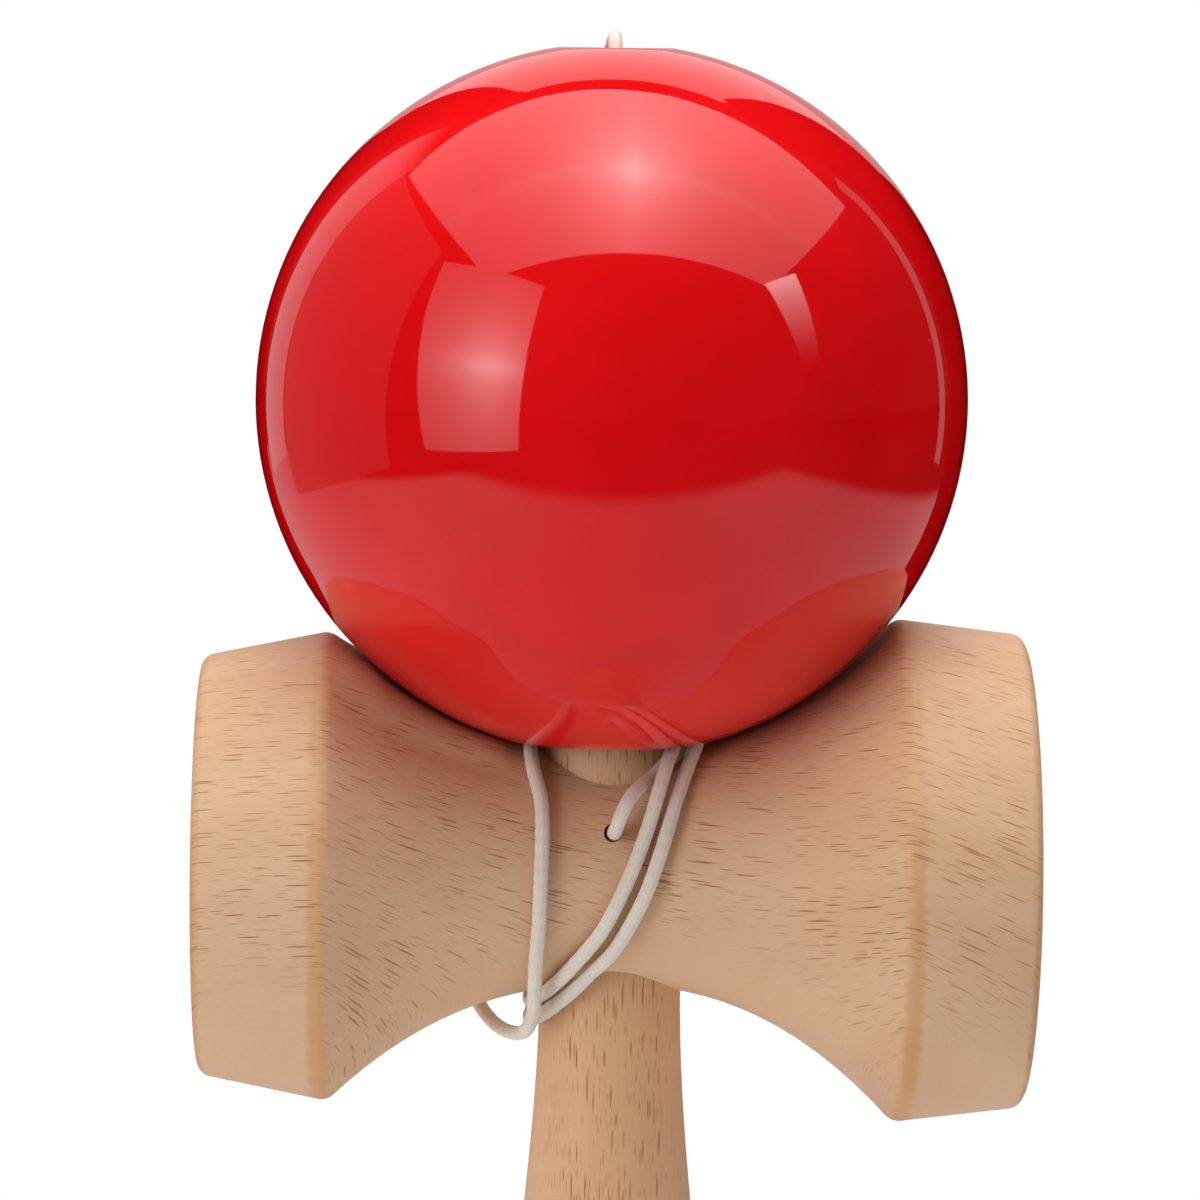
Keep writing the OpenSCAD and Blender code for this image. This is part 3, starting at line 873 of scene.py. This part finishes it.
def beech_material(name, pale, deep, ridges, order, **lay):
    """Beech with burnished ridges given as [axis, place, half width], and its grain laid as said."""
    material, tree, shader, spot = new_material(name)
    axes = add(tree, "ShaderNodeSeparateXYZ", spot).outputs
    grain = add(tree, "ShaderNodeGroup", node_tree=beech)
    tree.links.new(lay_grain(tree, axes, order, **lay), grain.inputs["Place"])
    tone = ramp_between(tree, grain.outputs["Tone"], 0.32, 0.68)
    colour = mix_colour(tree, tone, pale, deep)
    fine = ramp_between(tree, grain.outputs["Fibre"], *NOISE_RANGE)
    colour = mix_colour(tree, math_node(tree, "MULTIPLY", fine, FIBRE_SHARE), colour, deep)
    ragged = stretched_noise(tree, spot, RAGGED_SIZE, detail=2.0)
    ragged = math_node(tree, "MULTIPLY", ragged, RAGGED_REACH * MM)
    low = ramp_between(tree, axes[2], *(height * MM for height in BAND_HEIGHTS))
    low = math_node(tree, "MULTIPLY_ADD", low, BAND_LOW_DOWN, WORN_LEAST)
    worn = ramp_between(tree, stretched_noise(tree, spot, WORN_SIZE), *NOISE_RANGE)
    worn = math_node(tree, "MULTIPLY_ADD", worn, WORN_PATCHES, low)
    for axis, middle, half in ridges:
        away = math_node(tree, "ABSOLUTE", math_node(tree, "SUBTRACT", axes[axis], middle * MM))
        away = math_node(tree, "ADD", away, ragged)
        band = ramp_between(tree, away, (half + BAND_EDGE) * MM, half * MM)
        colour = mix_colour(tree, math_node(tree, "MULTIPLY", band, worn), colour, BEECH_BURNISH)
    squarely = cut_across(tree, spot, order, **lay)
    flecks = math_node(tree, "MULTIPLY", grain.outputs["Flecks"], squarely)
    colour = mix_colour(tree, flecks, colour, BEECH_FLECK)
    roughness = math_node(tree, "MULTIPLY_ADD", fine, FIBRE_ROUGHNESS, BEECH_ROUGHNESS)
    set_inputs(tree, shader, {"Base Color": colour, "Roughness": roughness, "Specular IOR Level": 0.35})
    height = math_node(tree, "MULTIPLY_ADD", flecks, FLECK_HEIGHT, fine)
    set_bump(tree, shader, height, strength=0.25, depth=0.04)
    return material


ALONG_X = (0, 1, 2)
ALONG_Z = (2, 1, 0)
RIDGE_BAND = 0.8
RIDGE_BAND_REACH = RIDGE_REACH + 0.5
RIM_BAND = 0.6
BASE_RIDGE_BAND = 0.75
BASE_RIM_BAND = 0.5
crosspiece_ridges = [
    (0, -RIDGE_BAND_REACH, RIDGE_BAND), (0, RIDGE_BAND_REACH, RIDGE_BAND),
    (0, -CUP_REACH, RIM_BAND), (0, CUP_REACH, RIM_BAND),
]
crosspiece_beech = beech_material(
    "crosspiece_beech", CROSSPIECE_PALE, CROSSPIECE_DEEP, crosspiece_ridges, ALONG_X,
    tilt=0.6, slope=0.2, bow=2.67,
)
handle_ridges = [(2, BASE_RIDGE_H, BASE_RIDGE_BAND), (2, 0.0, BASE_RIM_BAND)]
handle_beech = beech_material("handle_beech", HANDLE_PALE, HANDLE_DEEP, handle_ridges, ALONG_Z)
bead_beech = beech_material("bead_beech", CROSSPIECE_PALE, CROSSPIECE_DEEP, [], ALONG_Z)
print("beech materials made")


# %% [markdown]
# ## Red lacquer
# The ball is dipped in gloss lacquer. Gloss comes from a clear, low roughness and from what there
# is to reflect, so the colour itself is simple. What makes it real is small: a lacquer
# surface is never quite flat, and it holds a few pale specks of dust.

# %% Make the lacquer
LACQUER_RED = (0.82, 0.005, 0.0075, 1)
LACQUER_DEEP = (0.74, 0.0035, 0.005, 1)
SPECK_PALE = (0.75, 0.2, 0.17, 1)
SPECK_CELL = (3.2, 3.2, 3.2)
SPECK_CHANCE = 0.8
SPECK_LEAST = 0.015
SPECK_MORE = 0.03
SPECK_SHARE = 0.6
SPECK_ROUGHNESS = 0.3
SPECK_HEIGHT = 0.35
CLOUD_SIZE = (16, 16, 16)
SMEAR_SIZE = (7, 7, 4)
SMEAR_ROUGHNESS = 0.02
LACQUER_ROUGHNESS = 0.035
PEEL_SIZE = (3.5, 3.5, 3.5)

lacquer, tree, shader, spot = new_material("red_lacquer")
cloudy = ramp_between(tree, stretched_noise(tree, spot, CLOUD_SIZE, detail=2.0), 0.35, 0.65)
colour = mix_colour(tree, cloudy, LACQUER_RED, LACQUER_DEEP)
distance, chance = stretched_cells(tree, spot, SPECK_CELL)
chosen = math_node(tree, "GREATER_THAN", chance[0], SPECK_CHANCE)
size = math_node(tree, "MULTIPLY_ADD", chance[1], SPECK_MORE, SPECK_LEAST)
dot = math_node(tree, "LESS_THAN", distance, size)
speck = math_node(tree, "MULTIPLY", chosen, dot)
colour = mix_colour(tree, math_node(tree, "MULTIPLY", speck, SPECK_SHARE), colour, SPECK_PALE)
smear = ramp_between(tree, stretched_noise(tree, spot, SMEAR_SIZE, detail=3.0), 0.4, 0.8)
roughness = math_node(tree, "MULTIPLY_ADD", smear, SMEAR_ROUGHNESS, LACQUER_ROUGHNESS)
roughness = math_node(tree, "MULTIPLY_ADD", speck, SPECK_ROUGHNESS, roughness)
set_inputs(tree, shader, {"Base Color": colour, "Roughness": roughness, "IOR": 1.5})
peel = stretched_noise(tree, spot, PEEL_SIZE)
height = math_node(tree, "MULTIPLY_ADD", speck, SPECK_HEIGHT, peel)
set_bump(tree, shader, height, strength=0.35, depth=0.012)
print("lacquer made")


# %% [markdown]
# ## Cotton
# The string is off-white braided cotton. Its pattern has to follow the string round every bend,
# so it reads the UV map that the sweep made: one way is the distance along the string, the
# other goes round it. The grooves between strands have a little painted shade, and a slow
# change of tone along the string keeps it from looking like plastic.

# %% Make the cotton
COTTON_PALE = (0.83, 0.755, 0.665, 1)
# Painted shade: the colour put in the grooves between the strands
COTTON_GROOVE_SHADE = (0.54, 0.44, 0.36, 1)
COTTON_TINT = (0.76, 0.66, 0.58, 1)
SLOW_SIZE = (5, 5, 5)
SLOW_SHARE = 0.5
GROOVE_SHADE_SHARE = 0.2
FUZZ_SIZE = (0.25, 0.25, 0.25)
FUZZ_HEIGHT = 0.5
LINT_SHARE = 0.25

cotton, tree, shader, spot = new_material("braided_cotton")
uv = add(tree, "ShaderNodeUVMap", uv_map="along_string").outputs[0]
parts = add(tree, "ShaderNodeSeparateXYZ", uv).outputs
along = math_node(tree, "MULTIPLY", parts[0], 2 * math.pi * string_length / BRAID_PITCH)
round_it = math_node(tree, "MULTIPLY", parts[1], 2 * math.pi * BRAID_STRANDS)
one_way = math_node(tree, "COSINE", math_node(tree, "ADD", round_it, along))
other_way = math_node(tree, "COSINE", math_node(tree, "SUBTRACT", round_it, along))
relief = math_node(tree, "MULTIPLY", one_way, other_way)
# Painted shade: the grooves between the strands are darkened in the colour
groove_shade = ramp_between(tree, relief, 0.0, -0.8)
fuzz = stretched_noise(tree, spot, FUZZ_SIZE, detail=3.0, roughness=0.65)
slow = ramp_between(tree, stretched_noise(tree, spot, SLOW_SIZE), 0.35, 0.65)
lint = ramp_between(tree, fuzz, 0.45, 0.75)
layers = [
    (slow, SLOW_SHARE, COTTON_TINT),
    (groove_shade, GROOVE_SHADE_SHARE, COTTON_GROOVE_SHADE),
    (lint, LINT_SHARE, COTTON_TINT),
]
colour = COTTON_PALE
for mask, most, layer in layers:
    colour = mix_colour(tree, math_node(tree, "MULTIPLY", mask, most), colour, layer)
set_inputs(tree, shader, {"Base Color": colour, "Roughness": 0.85})
set_inputs(tree, shader, {"Specular IOR Level": 0.2, "Sheen Weight": 0.25})
height = math_node(tree, "MULTIPLY_ADD", fuzz, FUZZ_HEIGHT, relief)
set_bump(tree, shader, height, strength=0.4, depth=0.025)
print("cotton made")


# %% [markdown]
# ## Pieces on their bodies
# Each drawn piece but the string takes the place of its measured solid and rides on that
# solid's body. The string crosses from the handle to the ball and takes the place of the
# measured string's parts, but it is not put on a body and stays where it is drawn.

dressing = [
    (handle, "handle", "handle_wood", "handle", handle_beech),
    (crosspiece, "cup_crosspiece", "crosspiece_wood", "handle", crosspiece_beech),
    (handle_knot, "handle_knot", "string", "handle", cotton),
    (ball, "ball", "ball_lacquer", "ball", lacquer),
    (bead, "ball_bead", "bead_wood", "string_end", bead_beech),
    (bead_knot, "bead_knot", "string", "string_end", cotton),
]
for piece, node, slot, body, material in dressing:
    piece.data.materials.clear()
    piece.data.materials.append(material)
    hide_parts(node)
    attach(piece, body)

string.data.materials.append(cotton)
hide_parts("string_through_handle", "string_wraps", "string_over_ball")
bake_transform(string)
print("pieces dressed:", len(dressing) + 1)


# %% [markdown]
# ## The table and the light
# The gloss ball is a mirror, so the lights are placed where its reflections say they were: a
# big softbox overhead, a tall one at the left, a small one at the right, a pale backdrop far
# behind with a dimmer one under it, a reflector on each side, a dim wall at the left and a white
# table below. Each is a card that glows more at one place and that the camera can't see. The
# overhead one has a narrow cross of light at its brightest place, where its cloth is sewn. Four
# dark panels behind the ball, for its mirror only, make the dark edges that its sides show.

# %% Glowing cards
WHITE = (1, 1, 1, 1)
CARD_CELLS = 12
# Brings the highest value of share * share * (1 - share) up to 1
SAG_PEAK = 6.75


def glow_material(name, base, hot_place, glows, fade):
    """Light for a card: glows are [strength, width, height] round one hot place, in shares of the
    card, and the light fades out below a share of its height."""
    material = bpy.data.materials.new(name)
    tree = bare_tree(material)
    uv = add(tree, "ShaderNodeUVMap", uv_map="card").outputs[0]
    parts = add(tree, "ShaderNodeSeparateXYZ", uv).outputs
    away = [math_node(tree, "SUBTRACT", parts[i], hot_place[i]) for i in (0, 1)]
    strength = add(tree, "ShaderNodeValue").outputs[0]
    strength.default_value = base
    for glow, width, height in glows:
        across = math_node(tree, "DIVIDE", away[0], width)
        up = math_node(tree, "DIVIDE", away[1], height)
        fall = math_node(tree, "MULTIPLY_ADD", across, across, 1.0)
        fall = math_node(tree, "MULTIPLY_ADD", up, up, fall)
        strength = math_node(tree, "ADD", strength, math_node(tree, "DIVIDE", glow, fall))
    if fade:
        strength = math_node(tree, "MULTIPLY", strength, ramp_between(tree, parts[1], 0.0, fade))
    light = add(tree, "ShaderNodeEmission", WHITE, strength).outputs[0]
    add(tree, "ShaderNodeOutputMaterial", light)
    return material


def card(name, corners, base, hot_place=(0.5, 0.5), glows=(), fade=0.0, sag=0.0, mirror_only=False):
    """A glowing sheet between four corners: low left, low right, high left and high right. Its high
    edge can sag at the right, and a card for the mirror only lights nothing and shades nothing."""
    low_left, low_right, high_left, high_right = corners
    bm = bmesh.new()
    bm.loops.layers.uv.new("card")
    bmesh.ops.create_grid(bm, x_segments=CARD_CELLS, y_segments=CARD_CELLS, size=1, calc_uvs=True)
    for vert in bm.verts:
        across = (vert.co.x + 1) / 2
        up = (vert.co.y + 1) / 2
        vert.co = low_left.lerp(low_right, across).lerp(high_left.lerp(high_right, across), up)
        vert.co.y -= sag * up * SAG_PEAK * across ** 2 * (1 - across)
    thing = make_object(name, bm)
    thing.data.materials.append(glow_material(name + "_light", base, hot_place, glows, fade))
    thing.visible_camera = False
    thing.visible_diffuse = not mirror_only
    thing.visible_shadow = not mirror_only


ball_place = ball_middle * MM
OVERHEAD_RISE = 0.75
overhead_corners = [(-1.0, -0.86, 1), (1.3, -0.78, 1), (-0.95, 0.65, 1), (1.25, 0.7, 1)]
card(
    "softbox_overhead",
    [ball_place + Vector(corner) * OVERHEAD_RISE for corner in overhead_corners],
    base=0.9, hot_place=(0.468, 0.47), sag=0.1,
    glows=[(3.0, 0.134, 0.36), (3.2, 0.045, 0.08), (1.0, 0.016, 0.23), (0.5, 0.3, 0.03)],
)


def upright(distance, *directions):
    """Corners at one level distance from the ball: degrees round from the front, degrees up."""
    corners = []
    for turn, rise in directions:
        w = math.radians(turn)
        corners.append(Vector((math.sin(w), -math.cos(w), math.tan(math.radians(rise)))))
    return [ball_place + corner * distance for corner in corners]


card(
    "softbox_left", upright(0.7, (-60, -22), (-31, -22), (-71, 38), (-27, 38)),
    base=0.6, hot_place=(0.68, 0.52), glows=[(3.0, 0.27, 0.22), (3.0, 0.3, 0.05)], fade=0.15,
)
card(
    "softbox_right", upright(0.9, (62.5, 8), (68, 8), (57.5, 35), (72, 35)),
    base=0.0, hot_place=(0.5, 1.05), glows=[(6.5, 3.0, 0.3)], fade=0.6,
)
card("backdrop", upright(1.1, (153, 17), (201, 17), (152, 50), (200, 50)), base=0.95)
card("backdrop_low", upright(1.1, (158, -6), (195, -6), (153, 17), (201, 17)), base=0.45)
card(
    "reflector_left", upright(0.8, (-143, 46), (-126, 46), (-148, -12), (-131, -12)),
    base=0.68, fade=0.3,
)
card("reflector_right", upright(0.8, (127.5, -12), (132, -12), (125.5, 36), (130, 36)), base=0.45)
card("wall_left", upright(0.5, (-129, -16), (-76, -16), (-126, 40), (-74, 40)), base=0.22)
FLAGS = [
    ("flag_left_low", 0.36, (-187, -21), (-149, -21), (-165, 15), (-148, 15)),
    ("flag_left_high", 0.36, (-165, 15), (-148, 15), (-158, 50), (-145, 50)),
    ("flag_right_low", 0.34, (136.5, -23), (187, -23), (131.5, 15), (156.5, 15)),
    ("flag_right_high", 0.34, (131.5, 15), (156.5, 15), (129.5, 50), (152.5, 50)),
]
for name, distance, *directions in FLAGS:
    card(name, upright(distance, *directions), base=0.0, mirror_only=True)
print("cards placed")

# %% [markdown]
# The table is one wide sheet. Light that bounces off it comes from a white top as large as the
# real table, with a slanting left edge. The ball mirrors it darker than it is, a painted shade
# strongest straight in front, since the camera stood there. The camera sees the table white all
# over, with the toy's shadow near the foot. The world is white to the camera and dim to the
# lights. Glossy rays stay dark in it, because the lacquer mirrors a dark room and there is no
# metal or glass.

# %% The table and the world
TABLE_SIZE = 3.0
TABLE_FRONT = (-0.34, -0.25)
TABLE_BACK = (1.0, 0.9)
TABLE_LEFT = (-0.49, -0.42)
TABLE_RIGHT = (0.46, 0.38)
TABLE_SKEW = 0.4
TABLE_WHITE = (0.84, 0.84, 0.85, 1)
TABLE_DARK = (0.02, 0.02, 0.02, 1)
MIRRORED_SHARE = 0.5
MIRRORED_MORE = 0.25
MIRRORED_SIDE = (0.02, 0.22)
SHADOW_REACH = (0.14, 0.34)
PLAIN_SHARE = 0.55

table_bm = bmesh.new()
bmesh.ops.create_grid(table_bm, x_segments=1, y_segments=1, size=TABLE_SIZE)
table = make_object("table", table_bm)
white = bpy.data.materials.new("table_white")
tree = bare_tree(white)
spot = tree.nodes.new("ShaderNodeTexCoord").outputs["Object"]
across, along, _ = add(tree, "ShaderNodeSeparateXYZ", spot).outputs
skewed = math_node(tree, "MULTIPLY_ADD", along, TABLE_SKEW, across)
edges = ((along, TABLE_FRONT), (along, TABLE_BACK), (skewed, TABLE_LEFT), (across, TABLE_RIGHT))
top = 1.0
for side, edge in edges:
    top = math_node(tree, "MULTIPLY", ramp_between(tree, side, *edge), top)
path_node = tree.nodes.new("ShaderNodeLightPath")
seen = path_node.outputs["Is Camera Ray"]
# Painted shade: the table is darker in the ball's mirror, most straight in front where the camera stood
aside = ramp_between(tree, math_node(tree, "ABSOLUTE", across), *MIRRORED_SIDE)
mirror_shade = math_node(tree, "MULTIPLY_ADD", aside, MIRRORED_MORE, MIRRORED_SHARE - 1)
mirrored = math_node(tree, "MULTIPLY_ADD", path_node.outputs["Is Glossy Ray"], mirror_shade, 1.0)
pale = math_node(tree, "MAXIMUM", math_node(tree, "MULTIPLY", top, mirrored), seen)
surface = mix_colour(tree, pale, TABLE_DARK, TABLE_WHITE)
lit = add(tree, "ShaderNodeBsdfDiffuse", surface).outputs[0]
plain = add(tree, "ShaderNodeEmission", WHITE, 1.0).outputs[0]
distance = add(tree, "ShaderNodeVectorMath", spot, operation="LENGTH").outputs["Value"]
far = ramp_between(tree, distance, *SHADOW_REACH)
share = math_node(tree, "MULTIPLY_ADD", far, 1 - PLAIN_SHARE, PLAIN_SHARE)
share = math_node(tree, "MULTIPLY", share, seen)
mixed = add(tree, "ShaderNodeMixShader", share, lit, plain).outputs[0]
add(tree, "ShaderNodeOutputMaterial", mixed)
table.data.materials.append(white)

ROOM_LIGHT = 0.12
MIRRORED_ROOM = 0.024
world = bpy.data.worlds.new("studio")
bpy.context.scene.world = world
tree = bare_tree(world)
path_node = tree.nodes.new("ShaderNodeLightPath")
in_mirror = path_node.outputs["Is Glossy Ray"]
dim = math_node(tree, "MULTIPLY_ADD", in_mirror, MIRRORED_ROOM - ROOM_LIGHT, ROOM_LIGHT)
strength = math_node(tree, "MAXIMUM", dim, path_node.outputs["Is Camera Ray"])
room = add(tree, "ShaderNodeBackground", WHITE, strength).outputs[0]
add(tree, "ShaderNodeOutputWorld", room)
bpy.context.scene.view_settings.view_transform = "Standard"
print("table and world made")
